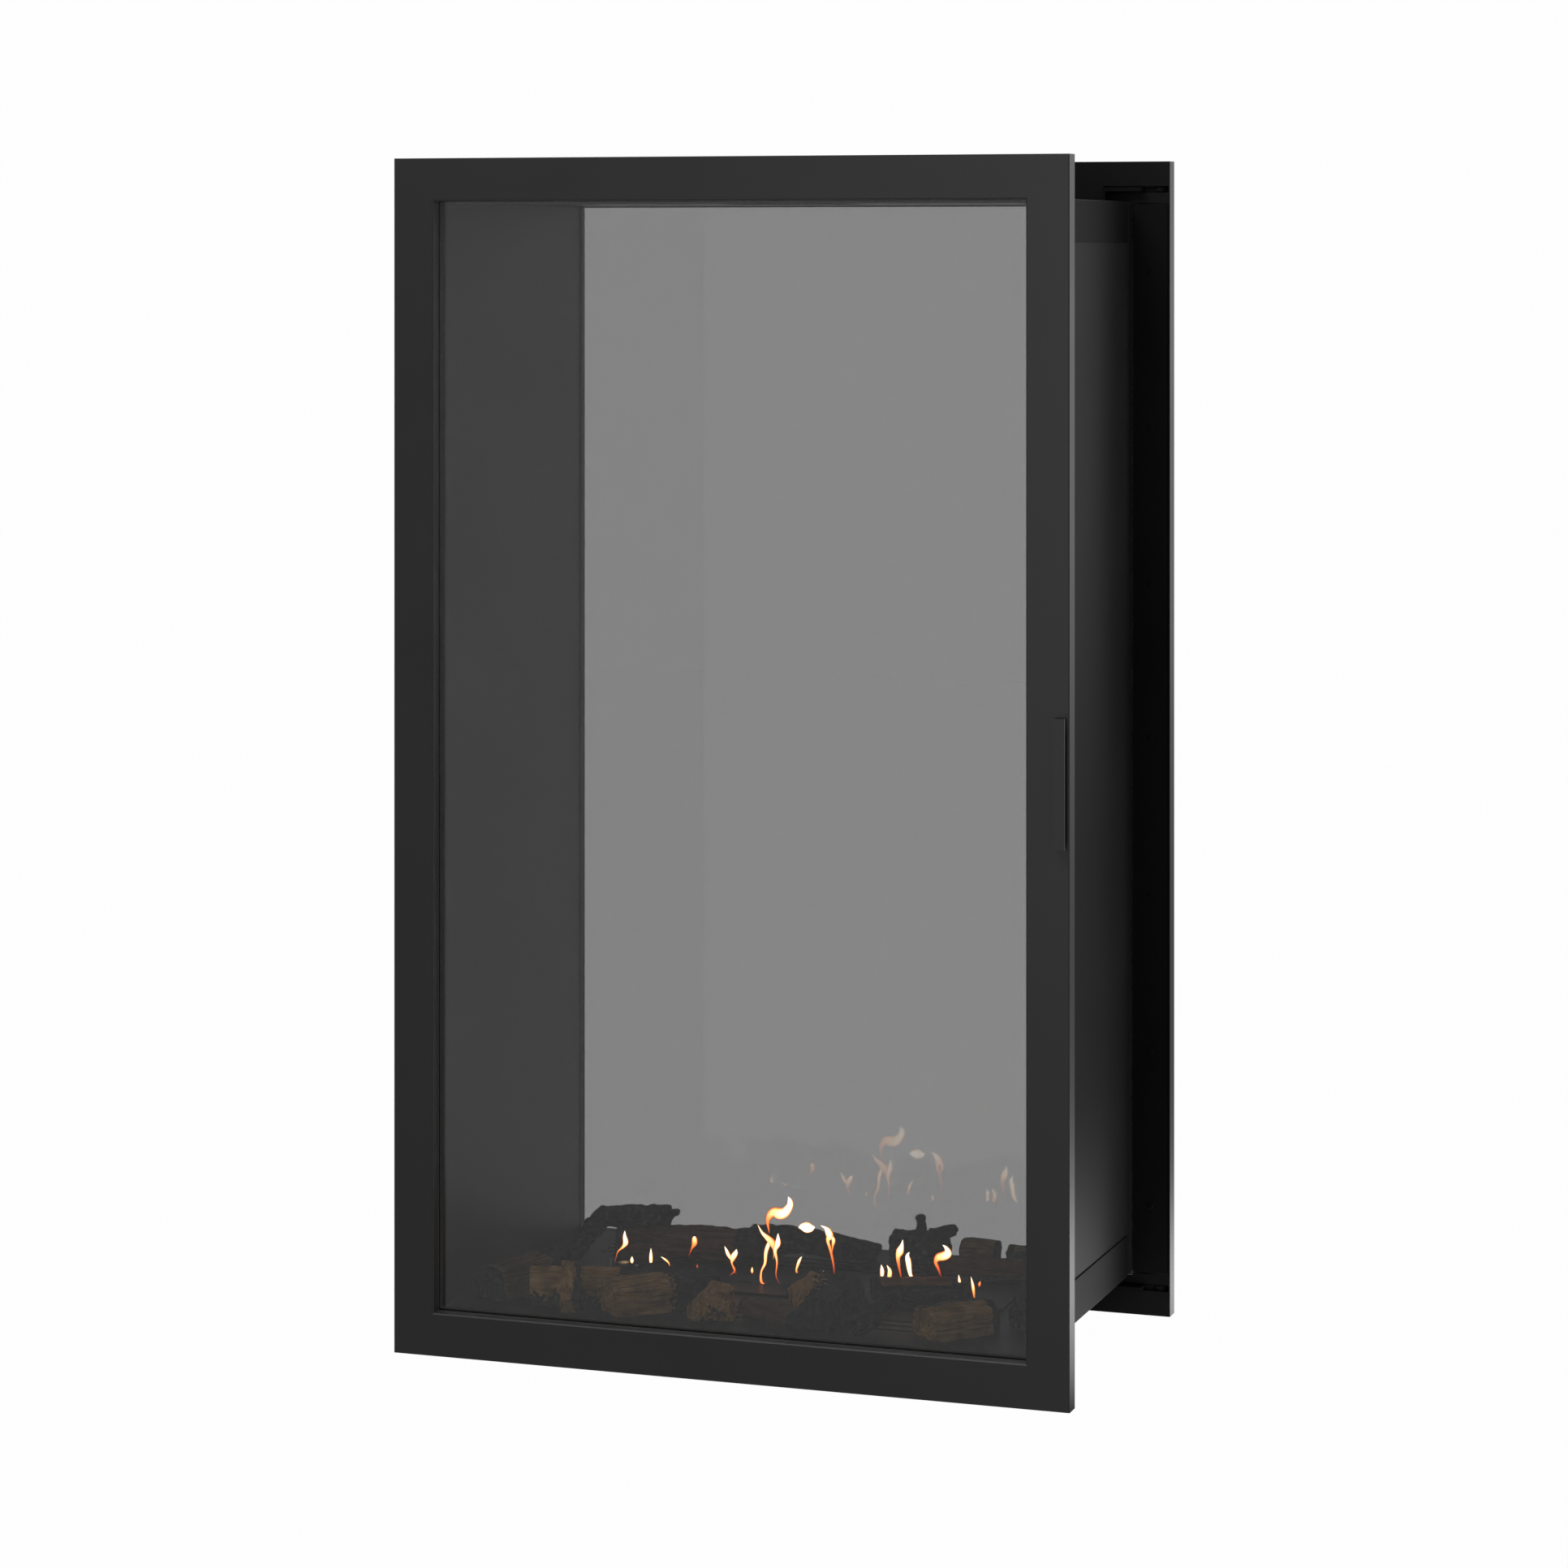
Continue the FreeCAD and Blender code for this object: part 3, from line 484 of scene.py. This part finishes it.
def carveLog(node, spec):
    start, end = [Vector((x * mm, y * mm, 0.0)) for x, y in spec["axis"]]
    along = (end - start).normalized()
    across = Vector((-along.y, along.x, 0.0))
    length = (end - start).length
    charSide = Vector(spec["side"]).normalized()
    bySurface, byPlace = carving["facing"]
    letters = (len(node), ord(node[4]), ord(node[-1]))
    seed = Vector([letter * rate for letter, rate in zip(letters, carving["seed"])])

    carved = denseCopy(node)
    bmesh.ops.smooth_vert(carved, verts=carved.verts, factor=carving["smooth"],
                          use_axis_x=True, use_axis_y=True, use_axis_z=True)
    carved.normal_update()
    grainLayer = carved.verts.layers.float_vector.new("grain")
    charLayer = carved.verts.layers.float.new("char")
    moves = []
    for vert in carved.verts:
        offset = vert.co - start
        grain = Vector((offset.dot(along), offset.dot(across), vert.co.z))
        vert[grainLayer] = grain
        height = grain.z - hearthTop

        ridgePlace = Vector([place * rate for place, rate in zip(grain, carving["ridgeRates"])])
        ridges = noise.fractal(ridgePlace + seed, *carving["ridgeOctaves"])
        lumps = noise.fractal(vert.co * carving["lumpRate"] + seed, *carving["lumpOctaves"])
        rise = (ridges * carving["ridge"] + lumps * carving["lump"]) * spec["rough"]
        if "knob" in spec and height > spec["knob"] * mm:
            rise += carving["knob"]
        moves.append(vert.normal * (rise * mm))

        radial = Vector((vert.co.x, vert.co.y, 0.0)) - (start + along * grain.x)
        radial.z = height - carving["core"] * mm
        facing = bySurface * vert.normal.dot(charSide) + byPlace * radial.normalized().dot(charSide)
        share = min(max(grain.x / length, 0.0), 1.0)
        ends = sum(max(0.0, 1 - gone / limit)
                   for gone, limit in ((share, spec["near"]), (1 - share, spec["far"])) if limit)
        char = max(0.0, (facing + 2 * spec["reach"] - 1) * carving["sideChar"]) + carving["endChar"] * ends
        vert[charLayer] = min(char, 1.0)
    for vert, move in zip(carved.verts, moves):
        vert.co += move
        vert.co.z = max(vert.co.z, hearthTop)
    mesh = meshFrom(carved, "carved_" + node)
    finishPiece("carved_" + node, mesh, "firebox", logMaterials[spec["tone"]], [node])


for node, spec in logSpecs.items():
    carveLog(node, spec)
print("logs carved:", len(logSpecs))


# flames over the burner's ports: flat tongues with white hearts, orange rims and red tails

flameForm = {"around": 16, "rings": 44, "finest": 0.4, "depth": 0.22, "rim": 0.72, "rimPower": 4,
             "step": 0.02, "pole": 0.0001, "power": (0.7, 5.5), "fullHeat": 0.6}

# heat at the foot and at the tip; path by its points, each with its place across, its height over the hearth
# and the flame's width there, in millimetres
flameSpecs = [
    {"heat": (0.15, 1.0), "path": ((-193, 12, 0), (-190, 23, 1), (-184, 29, 3), (-181, 34, 6), (-182, 40, 4),
                                   (-182, 46, 0))},
    {"heat": (0.5, 0.9), "path": ((-174, 13, 2), (-174, 16, 4), (-174, 20, 0))},
    {"heat": (0.55, 0.85), "path": ((-153, 15, 3), (-153, 19, 4), (-153, 24, 3), (-153, 30, 0))},
    {"heat": (0.3, 0.8), "path": ((-132, 13, 0), (-134, 17, 2), (-138, 20, 2), (-142, 22, 0))},
    {"heat": (0.1, 0.75), "path": ((-112, 24, 0), (-108, 33, 2), (-105, 39, 6), (-105, 44, 5),
                                   (-105, 46, 0))},
    {"heat": (0.05, 0.3), "path": ((-102, 12, 0), (-102, 15, 2), (-102, 17, 0))},
    {"heat": (0.1, 0.9), "path": ((-67, 8, 0), (-61, 14, 2), (-64, 21, 2), (-63, 27, 6), (-60, 32, 5),
                                  (-59, 36, 0))},
    {"heat": (0.55, 0.9), "path": ((-64, 24, 2), (-68, 30, 4), (-70, 34, 3), (-72, 38, 0))},
    {"heat": (0.1, 0.5), "path": ((-59, 10, 0), (-62, 15, 1), (-65, 22, 0))},
    {"heat": (0.3, 0.7), "path": ((-42, 12, 0), (-42, 15, 3), (-42, 19, 0))},
    {"heat": (0.3, 0.75), "path": ((-27, 2, 0), (-32, 5, 3), (-32, 15, 2), (-28, 24, 3), (-27, 35, 4),
                                   (-24, 44, 4), (-21, 49, 0))},
    {"heat": (0.3, 0.75), "path": ((-19, 28, 0), (-18, 38, 3), (-20, 45, 8), (-25, 50, 6), (-31, 55, 3),
                                   (-36, 63, 0))},
    {"heat": (0.05, 0.95), "path": ((-11, 3, 0), (-16, 12, 1), (-15, 26, 2), (-17, 38, 4), (-14, 46, 6),
                                    (-14, 56, 0))},
    {"heat": (0.25, 1.0), "path": ((-23, 54, 0), (-25, 66, 4), (-23, 73, 7), (-18, 77, 10), (-12, 76, 12),
                                   (-6, 78, 10), (-1, 85, 7), (-1, 90, 5), (-3, 94, 0))},
    {"heat": (0.25, 0.85), "path": ((7, 17, 3), (6, 20, 2), (9, 29, 3), (12, 34, 0))},
    {"heat": (0.85, 1.0), "path": ((8, 63, 0), (12, 64, 7), (17, 64, 11), (22, 64, 8), (26, 65, 0))},
    {"heat": (0.4, 0.85), "path": ((36, 14, 2), (35, 17, 3), (35, 21, 0))},
    {"heat": (0.1, 1.0), "path": ((47, 15, 0), (46, 28, 2), (43, 42, 3), (40, 52, 4), (42, 57, 8),
                                  (40, 62, 7), (37, 65, 3), (32, 67, 0))},
    {"heat": (0.15, 0.8), "path": ((44, 36, 0), (45, 46, 2), (46, 53, 4), (44, 58, 1))},
    {"heat": (0.55, 0.95), "path": ((97, 17, 2), (98, 22, 4), (98, 27, 4), (97, 32, 0))},
    {"heat": (0.4, 0.75), "path": ((104, 17, 2), (106, 22, 5), (106, 27, 4), (103, 32, 0))},
    {"heat": (0.1, 1.0), "path": ((119, 17, 1), (116, 32, 3), (115, 41, 5), (117, 47, 8), (119, 53, 4),
                                  (120, 59, 0))},
    {"heat": (0.6, 1.0), "path": ((132, 19, 2), (128, 25, 4), (126, 37, 6), (125, 43, 4), (127, 47, 0))},
    {"heat": (0.1, 1.0), "path": ((161, 23, 0), (158, 32, 3), (155, 39, 4), (158, 44, 8), (164, 46, 9),
                                  (168, 49, 8), (166, 54, 4), (162, 57, 0))},
    {"heat": (0.5, 0.9), "path": ((180, 18, 1), (180, 22, 3), (179, 28, 0))},
    {"heat": (0.2, 0.85), "path": ((196, 3, 0), (195, 12, 3), (194, 19, 3), (192, 27, 0))},
    {"heat": (0.15, 0.5), "path": ((201, 17, 0), (201, 20, 3), (202, 23, 0))},
]

flameGlow = newMaterial("burning_gas")
flameHeat = addNode(flameGlow, "ShaderNodeAttribute", attribute_name="tongue")
flameTone = addNode(flameGlow, "ShaderNodeValToRGB", {"Fac": flameHeat.outputs["Fac"]},
                    ramp=[(0.0, "#7d1806"), (0.18, "#d9481a"), (0.36, "#ff8a3c"), (0.55, "#ffc983"),
                          (0.78, "#ffe9c6"), (1.0, "#fff6e4")])
flamePower = addNode(flameGlow, "ShaderNodeMapRange", {
    "Value": flameHeat.outputs["Fac"], "From Max": flameForm["fullHeat"], "To Min": flameForm["power"][0],
    "To Max": flameForm["power"][1]})
flameLight = addNode(flameGlow, "ShaderNodeEmission", {
    "Color": flameTone.outputs["Color"], "Strength": flamePower.outputs["Result"]})
addNode(flameGlow, "ShaderNodeOutputMaterial", {"Surface": flameLight.outputs["Emission"]})


def pathPoint(path, share):
    # smooth line through the flame's points
    place = share * (len(path) - 1)
    number = min(int(place), len(path) - 2)
    t = place - number
    p = [Vector(path[min(max(number + k, 0), len(path) - 1)]) for k in (-1, 0, 1, 2)]
    return 0.5 * (2 * p[1] + (p[2] - p[0]) * t + (2 * p[0] - 5 * p[1] + 4 * p[2] - p[3]) * t * t
                  + (3 * p[1] - p[0] - 3 * p[2] + p[3]) * t ** 3)


def makeFlames():
    tongues = bmesh.new()
    heatLayer = tongues.verts.layers.float.new("tongue")
    for spec in flameSpecs:
        path = spec["path"]
        cool, hot = spec["heat"]
        made = bmesh.ops.create_uvsphere(tongues, u_segments=flameForm["around"],
                                         v_segments=flameForm["rings"], radius=1.0)
        for vert in made["verts"]:
            share = 1 - math.acos(min(max(vert.co.z, -1.0), 1.0)) / math.pi
            flat = Vector((vert.co.x, vert.co.y))
            if flat.length > flameForm["pole"]:
                flat.normalize()
            x, height, width = pathPoint(path, share)
            width = max(width, flameForm["finest"])
            before = pathPoint(path, max(share - flameForm["step"], 0.0))
            ahead = pathPoint(path, min(share + flameForm["step"], 1.0)) - before
            aside = Vector((ahead.y, -ahead.x)).normalized() * (flat.x * width / 2)
            heat = cool + (hot - cool) * share
            vert[heatLayer] = heat * (1 - flameForm["rim"] * abs(flat.x) ** flameForm["rimPower"])
            level = hearthTop / mm + height + aside.y
            vert.co = Vector((x + aside.x, flat.y * width * flameForm["depth"], level)) * mm
    bmesh.ops.recalc_face_normals(tongues, faces=tongues.faces)
    finishPiece("flames", meshFrom(tongues, "flames"), "firebox", flameGlow)


makeFlames()
print("flames made:", len(flameSpecs))


# fasteners: button heads with a socket, blackened on the steel sheets and bare on the pilot plate

screwSpecs = {
    "clamp": {"radius": 3.2, "height": 1.7, "margin": 70, "count": 7},
    "hinge": {"radius": 2.8, "height": 1.5, "foot": 24, "plate": 4, "back": 5.7, "shares": (0.28, 0.72)},
    "flue": {"radius": 3.0, "height": 1.6, "circle": 82.5, "flange": 1.5, "count": 8},
    "deck": {"radius": 2.2, "height": 1.2, "margin": 5.5, "count": 4},
    "pilot": {"radius": 1.7, "height": 1.0, "margin": 3.2},
}
screwForm = {"steps": 18, "weld": 0.005}
# half section from the rim over the dome and down into the socket, as shares of radius and height
buttonHead = ((1.0, 0.0), (1.0, 0.3), (0.93, 0.6), (0.76, 0.87), (0.5, 1.0), (0.46, 0.96), (0.44, 0.35),
              (0.0, 0.25))


def makeScrews(name, body, material, spec, places, normal):
    heads = bmesh.new()
    radius, height = spec["radius"] * mm, spec["height"] * mm
    upward = Vector(normal)
    aside = upward.orthogonal().normalized()
    for place in places:
        ring = [heads.verts.new(Vector(place) + aside * (r * radius) + upward * (h * height))
                for r, h in buttonHead]
        edges = [heads.edges.new(pair) for pair in zip(ring, ring[1:])]
        bmesh.ops.spin(heads, geom=ring + edges, cent=place, axis=upward, angle=2 * math.pi,
                       steps=screwForm["steps"], use_merge=True)
    bmesh.ops.remove_doubles(heads, verts=heads.verts, dist=screwForm["weld"] * mm)
    bmesh.ops.recalc_face_normals(heads, faces=heads.faces)
    finishPiece(name, meshFrom(heads, name), body, material)


def clampScrews(door, facing, edge):
    spec = screwSpecs["clamp"]
    low, high = corners(door + "_" + edge + "_clamp")
    face = high.y if facing > 0 else low.y
    margin = spec["margin"] * mm
    step = (high.z - low.z - 2 * margin) / (spec["count"] - 1)
    places = [((low.x + high.x) / 2, face, low.z + margin + k * step) for k in range(spec["count"])]
    makeScrews(door + "_" + edge + "_clamp_screws", door + "_door", boxPaint, spec, places,
               (0, facing, 0))


def hingeScrews(door, facing, end, upward):
    spec = screwSpecs["hinge"]
    low, high = corners(door + "_hinge_" + end)
    level = high.z - spec["plate"] * mm if upward < 0 else low.z + spec["plate"] * mm
    inner = high.x if facing > 0 else low.x
    depth = high.y - spec["back"] * mm if facing > 0 else low.y + spec["back"] * mm
    places = [(inner - facing * share * spec["foot"] * mm, depth, level) for share in spec["shares"]]
    makeScrews(door + "_hinge_" + end + "_screws", "firebox", boxPaint, spec, places,
               (0, 0, upward))


def flueScrews():
    spec = screwSpecs["flue"]
    level = corners("top_cover")[1].z + spec["flange"] * mm
    circle = spec["circle"] * mm
    turns = [2 * math.pi * (k + 0.5) / spec["count"] for k in range(spec["count"])]
    places = [(math.cos(turn) * circle, math.sin(turn) * circle, level) for turn in turns]
    makeScrews("flue_flange_screws", "firebox", boxPaint, spec, places, (0, 0, 1))


def deckScrews():
    spec = screwSpecs["deck"]
    low, high = corners("burner_deck")
    margin = spec["margin"] * mm
    step = (high.x - low.x) / spec["count"]
    places = [(low.x + (k + 0.5) * step, y, high.z) for k in range(spec["count"])
              for y in (low.y + margin, high.y - margin)]
    makeScrews("burner_deck_screws", "firebox", boxPaint, spec, places, (0, 0, 1))


def pilotScrews():
    spec = screwSpecs["pilot"]
    low, high = corners("pilot_bracket")
    margin = spec["margin"] * mm
    places = [(x, y, high.z) for x in (low.x + margin, high.x - margin)
              for y in (low.y + margin, high.y - margin)]
    makeScrews("pilot_plate_screws", "firebox", zincSteel, spec, places, (0, 0, 1))


for door, facing in doors.items():
    for edge in ("hinge", "handle"):
        clampScrews(door, facing, edge)
    for end, upward in (("bottom", -1), ("top", 1)):
        hingeScrews(door, facing, end, upward)
flueScrews()
deckScrews()
pilotScrews()
print("fasteners made")


# studio: pale floor, white backdrop, soft light from above, from beside the camera and from the right

# metres, but the gap under the part in millimetres; room, mirror and the glows are strengths of white
studio = {"gap": 0.4, "floorSize": 7.0, "wallSize": 9.0, "wall": (0, 6.5, 3.0), "room": 0.3, "mirror": 0.235,
          "white": 0.985, "floorGlow": 3.2, "wallGlow": 1.1, "bright": (0.6, 0.3, 0.0), "reach": (0.1, 0.55),
          "under": (-0.04, 0.0, 0.0), "half": (0.265, 0.205), "soft": 0.9}
paperSpec = {"fibre": 3, "tones": ("#b8b8b8", "#bebebe")}


def stagePaper(name, near, far):
    # white to the eye and through glass, but shaded under the firebox
    # mirrored on gloss it is bright beside the object and fades to the room's grey
    material = newMaterial(name)
    rays = addNode(material, "ShaderNodeLightPath")
    seen = addNode(material, "ShaderNodeMath", {
        0: rays.outputs["Is Camera Ray"], 1: rays.outputs["Is Transmission Ray"]}, operation="MAXIMUM")
    gloss = addNode(material, "ShaderNodeMath", {
        0: rays.outputs["Is Glossy Ray"], 1: rays.outputs["Is Transmission Ray"]},
        operation="SUBTRACT", use_clamp=True)
    place = addNode(material, "ShaderNodeTexCoord")
    fibres = addNode(material, "ShaderNodeTexNoise", {
        "Vector": place.outputs["Object"], "Scale": perMm(paperSpec["fibre"])})
    tone = addNode(material, "ShaderNodeValToRGB", {"Fac": fibres.outputs["Fac"]},
                   ramp=[(0.3, paperSpec["tones"][0]), (0.7, paperSpec["tones"][1])])
    matt = addNode(material, "ShaderNodeBsdfDiffuse", {"Color": tone.outputs["Color"]})
    glow = addNode(material, "ShaderNodeEmission", {"Strength": 1.0})
    away = addNode(material, "ShaderNodeVectorMath", {0: place.outputs["Object"], 1: studio["bright"]},
                   operation="DISTANCE")
    fade = addNode(material, "ShaderNodeMapRange", {
        "Value": away.outputs["Value"], "From Min": studio["reach"][0], "From Max": studio["reach"][1],
        "To Min": near, "To Max": far})
    dim = addNode(material, "ShaderNodeEmission", {"Strength": fade.outputs["Result"]})
    shares = (1 / studio["half"][0], 1 / studio["half"][1], 0.0)
    free = beyondBox(material, studio["under"], shares, studio["soft"], 1.0)
    white = addNode(material, "ShaderNodeMath", {0: free, 1: studio["white"]}, operation="MULTIPLY")
    keep = addNode(material, "ShaderNodeMath", {0: seen.outputs[0], 1: white.outputs[0]},
                   operation="MULTIPLY")
    lit = addNode(material, "ShaderNodeMixShader", {
        0: keep.outputs[0], 1: matt.outputs["BSDF"], 2: glow.outputs["Emission"]})
    both = addNode(material, "ShaderNodeMixShader", {
        0: gloss.outputs[0], 1: lit.outputs["Shader"], 2: dim.outputs["Emission"]})
    addNode(material, "ShaderNodeOutputMaterial", {"Surface": both.outputs["Shader"]})
    return material


def makeStage(name, paper, matrix, size):
    plane = bmesh.new()
    bmesh.ops.create_grid(plane, x_segments=2, y_segments=2, size=size, matrix=matrix)
    mesh = meshFrom(plane, name, smooth=False)
    mesh.materials.append(paper)
    stage = bpy.data.objects.new(name, mesh)
    scene.collection.objects.link(stage)


floorPaper = stagePaper("white_floor_paper", studio["floorGlow"], studio["mirror"])
backPaper = stagePaper("white_back_paper", studio["wallGlow"], studio["wallGlow"])
floorLevel = cadBox[0][2] - studio["gap"] * mm
upright = Matrix.Rotation(math.radians(90), 4, "X")
makeStage("paper_floor", floorPaper, Matrix.Translation((0, 0, floorLevel)), studio["floorSize"])
makeStage("paper_backdrop", backPaper, Matrix.Translation(studio["wall"]) @ upright, studio["wallSize"])

world = bpy.data.worlds.new("studio_room")
scene.world = world
world.use_nodes = True
world.node_tree.nodes.clear()
roomRays = addNode(world, "ShaderNodeLightPath")
roomSeen = addNode(world, "ShaderNodeMath", {
    0: roomRays.outputs["Is Camera Ray"], 1: roomRays.outputs["Is Transmission Ray"]}, operation="MAXIMUM")
roomGloss = addNode(world, "ShaderNodeMapRange", {
    "Value": roomRays.outputs["Is Glossy Ray"], "To Min": studio["room"], "To Max": studio["mirror"]})
roomLevel = addNode(world, "ShaderNodeMapRange", {
    "Value": roomSeen.outputs[0], "To Min": roomGloss.outputs["Result"], "To Max": 1.0})
roomLight = addNode(world, "ShaderNodeBackground", {
    "Color": (1.0, 1.0, 1.0, 1.0), "Strength": roomLevel.outputs["Result"]})
addNode(world, "ShaderNodeOutputWorld", {"Surface": roomLight.outputs["Background"]})

lamps = {
    "front_high": {"place": (-0.6, -2.2, 3.3), "aim": (0.0, -0.1, 0.1), "size": (1.4, 1.2), "power": 30},
    "fill_front": {"place": (0.65, -4.6, 0.8), "aim": (0.2, 0.0, 0.6), "size": (1.2, 1.1), "power": 24},
    "key_right": {"place": (3.0, 0.9, 1.2), "aim": (0.3, 0.0, 0.5), "size": (1.6, 2.2), "power": 13},
}


def makeLamp(name, spec):
    lamp = bpy.data.lights.new(name, "AREA")
    lamp.shape = "RECTANGLE"
    lamp.size, lamp.size_y = spec["size"]
    lamp.energy = spec["power"]
    holder = bpy.data.objects.new(name, lamp)
    holder.location = spec["place"]
    holder.rotation_euler = (Vector(spec["aim"]) - Vector(spec["place"])).to_track_quat("-Z", "Y").to_euler()
    scene.collection.objects.link(holder)


for name, spec in lamps.items():
    makeLamp(name, spec)

# level camera at the photo's angle, shifted down so that uprights stay parallel
photoView = {"lens": 100.0, "sensor": 36.0, "turn": 19.0, "place": (1.4445, -4.2183, 1.0694),
             "shift": -0.3424}
camera = bpy.data.cameras.new("camera")
camera.lens = photoView["lens"]
camera.sensor_width = photoView["sensor"]
camera.shift_y = photoView["shift"]
cameraHolder = bpy.data.objects.new("camera", camera)
cameraHolder.location = photoView["place"]
cameraHolder.rotation_euler = (math.radians(90), 0.0, math.radians(photoView["turn"]))
scene.collection.objects.link(cameraHolder)
scene.camera = cameraHolder
print("studio ready")
